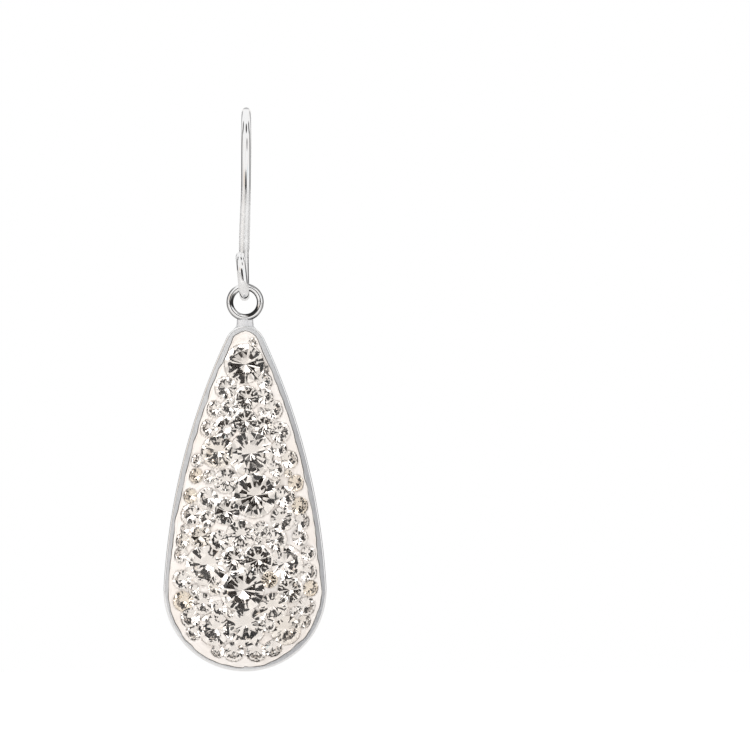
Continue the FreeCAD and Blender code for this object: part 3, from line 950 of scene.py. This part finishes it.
def makeClay(placed):
    # The outline is one point spun round the drop. A shrunken copy of it is the dome's spine.
    bpy.ops.mesh.primitive_plane_add(size=1, location=(0, hangY, fillLow.z))
    piece = bpy.context.object
    bpy.ops.object.transform_apply(location=True, rotation=True, scale=True)
    openEdit(piece)
    bpy.ops.mesh.select_mode(type="VERT")
    pickAll()
    bpy.ops.mesh.merge(type="CENTER")
    spinRoundDrop()
    pickAll()
    bpy.ops.mesh.remove_doubles(threshold=0.001)
    pickAll()
    bpy.ops.mesh.duplicate()
    narrowed = (tipZ - bellyZ) / (fillHigh.z - fillLow.z)
    still = (bellyZ - narrowed * fillLow.z) / (1 - narrowed)
    widen((0, 1, narrowed), (0, hangY, still))
    pickAll()
    bpy.ops.mesh.bridge_edge_loops(number_cuts=clay["cuts"], interpolation="LINEAR")
    pickAll()
    bpy.ops.mesh.remove_doubles(threshold=0.001)
    closeEdit()

    # press the sheet onto the dome, run its edge out over the rim, and bring it back under itself
    for point in piece.data.vertices:
        inside = nearestOnOutline(point.co.x, point.co.z)[1] - fillInset
        point.co.y = claySurface(point.co.x, point.co.z, inside, placed)
    for share, inset, proud in (
        (1, 0, clay["smearThick"] * 0.6),
        (1, clay["undercut"], 0.01),
        # the third strip carries the painted shadow line
        (1, clay["undercut"] + clay["shadowLine"], 0.006),
        (0, 0, 0.002),
    ):
        addEdgeLoop(piece, share, inset, proud)

    # down the inside of the cup, and closed just over its floor
    openEdit(piece)
    pick("EDGE", rimOfHole)
    pull((0, cupHigh.y - setting["backPlate"] - clay["floorGap"] - cupLow.y, 0))
    pick("EDGE", rimOfHole)
    bpy.ops.mesh.edge_face_add()
    tidySkin(0.0005)
    closeEdit()
    for finish in (ivoryClay(), paintedGrooveShadow()):
        piece.data.materials.append(finish)
    for face in piece.data.polygons:
        onRim = all(abs(piece.data.vertices[i].co.y - cupLow.y) < 0.012 for i in face.vertices)
        inside = nearestOnOutline(face.center.x, face.center.z)[1]
        if onRim and face.normal.y < -0.5 and inside < fillInset:
            face.material_index = 1     # the painted shadow line
    smoothShade(piece, 60)
    return finishPiece(piece, "clayBed", "drop", "clay", "paved_filling")


studio = {
    "floorDrop": 30,        # below the earring
    "floorRadius": 2500,
    "darkStart": 21.0,      # degrees round the camera's side that stay dark
    "darkEnd": 23.0,
    "dark": (0.02, 0.017, 0.016),
    "tent": ((0.36, (0.93, 0.88, 0.85)), (0.52, (1.03, 1.03, 1.03))),
    "patches": (            # towards where, degrees to its full part and to its edge, and its colour
        ((0, 0.2, 1), 10, 80, (1.02, 1.02, 1.02)),
        ((0.1, -0.12, 1), 9, 14, (0.02, 0.017, 0.016)),
        ((0, 0.95, 0.31), 6, 13, (0.5, 0.5, 0.51)),
        ((0.4, -0.6, 0.8), 6, 11, (0.02, 0.017, 0.016)),
        ((0.5, -0.75, -0.35), 6, 12, (0.75, 0.58, 0.40)),
        ((-0.62, -0.7, 0.2), 5, 10, (0.78, 0.64, 0.48)),
        ((0.6, -0.72, 0.3), 4, 8, (0.72, 0.88, 0.95)),
    ),
    "sidePatches": (        # the same, on the right and again on the left
        ((0.43, 0.87, 0.22), 7, 13, (0.35, 0.35, 0.36)),
        ((0.67, 0.28, 0.7), 7, 14, (0.14, 0.14, 0.14)),
        ((0.88, 0.36, 0.36), 7, 14, (0.2, 0.2, 0.2)),
        ((1, 0.42, 0), 16, 28, (0.08, 0.08, 0.085)),
    ),
    "keyPlace": (-0.25, -0.55, 0.35),
    "keySize": 0.5,
    "keyPower": 1.75,
    "cameraAway": 2000,
    "frameWide": 60,
    "lens": 1200,
    "toSide": 10.4,
    "level": -20.7,
}


def makeFloor():
    bpy.ops.mesh.primitive_circle_add(
        vertices=96, radius=studio["floorRadius"] * mm, fill_type="NGON",
        location=(0, 0, (cupLow.z - studio["floorDrop"]) * mm),
    )
    floor = bpy.context.object
    floor.name = "floor"
    bpy.ops.object.transform_apply(location=True, rotation=True, scale=True)
    finish, tree, shader = newFinish("paleFloor")
    shader.inputs["Base Color"].default_value = (0.84, 0.83, 0.82, 1)
    shader.inputs["Roughness"].default_value = 0.9
    shader.inputs["Emission Color"].default_value = (1, 1, 1, 1)
    seen = addNode(tree, "ShaderNodeLightPath")
    tree.links.new(seen.outputs["Is Camera Ray"], shader.inputs["Emission Strength"])
    floor.data.materials.append(finish)


def addPatch(tree, place, before, direction, inner, outer, colour):
    aim = addNode(tree, "ShaderNodeVectorMath", {"operation": "DOT_PRODUCT"})
    aim.inputs[1].default_value = Vector(direction).normalized()
    tree.links.new(place.outputs["Generated"], aim.inputs[0])
    share, mixed = mixColours(tree, before, colour)
    fade = addNode(
        tree, "ShaderNodeMapRange", {"interpolation_type": "SMOOTHSTEP"},
        From_Min=math.cos(math.radians(outer)), From_Max=math.cos(math.radians(inner)),
    )
    tree.links.new(aim.outputs["Value"], fade.inputs["Value"])
    tree.links.new(fade.outputs[0], share)
    return mixed


def makeWorld():
    # A white tent with a dark gap at the camera's side, and a few faint coloured patches.
    world = bpy.data.worlds.new("whiteTent")
    bpy.context.scene.world = world
    world.use_nodes = True
    tree = world.node_tree
    place = addNode(tree, "ShaderNodeTexCoord")
    cloud = addNode(tree, "ShaderNodeTexNoise", Scale=3.2, Detail=1.0)
    tree.links.new(place.outputs["Generated"], cloud.inputs["Vector"])
    tones = fillRamp(tree, studio["tent"])
    tree.links.new(cloud.outputs["Fac"], tones.inputs["Fac"])
    patches = list(studio["patches"])
    for side in (1, -1):
        patches += [((side * way[0], *way[1:]), *rest) for way, *rest in studio["sidePatches"]]
    patches.append(((0, -1, 0), studio["darkStart"], studio["darkEnd"], studio["dark"]))
    colour = tones.outputs["Color"]
    for patch in patches:
        colour = addPatch(tree, place, colour, *patch)
    seen = addNode(tree, "ShaderNodeLightPath")
    share, shown = mixColours(tree, colour, (1, 1, 1))
    tree.links.new(seen.outputs["Is Camera Ray"], share)
    tree.links.new(shown, tree.nodes["Background"].inputs["Color"])


def makeKeyLight():
    # A broad soft light for the clay. Polished faces mirror the tent only.
    bpy.ops.object.light_add(type="AREA", location=studio["keyPlace"])
    key = bpy.context.object
    key.data.size = studio["keySize"]
    key.data.energy = studio["keyPower"]
    key.visible_glossy = False
    key.visible_camera = False
    aim = Vector((0, 0, studio["level"] * mm)) - key.location
    key.rotation_euler = aim.to_track_quat("-Z", "Y").to_euler()


def makeCamera():
    bpy.ops.object.camera_add(
        location=(studio["toSide"] * mm, (cupLow.y - studio["cameraAway"]) * mm, studio["level"] * mm),
        rotation=(math.pi / 2, 0, 0),
    )
    camera = bpy.context.object
    camera.data.lens = studio["lens"]
    camera.data.sensor_width = studio["lens"] * studio["frameWide"] / studio["cameraAway"]
    camera.data.clip_start = 0.01
    camera.data.clip_end = 20
    bpy.context.scene.camera = camera
    bpy.context.scene.view_settings.view_transform = "Standard"


makeFloor()
makeWorld()
makeKeyLight()
makeCamera()
print("studio ready")
makeEarWire()
makeSetting()
placedStones = placeCrystals(chartCrystals())
print(len(placedStones), "crystals")
makeCrystals(placedStones)
makeClay(placedStones)
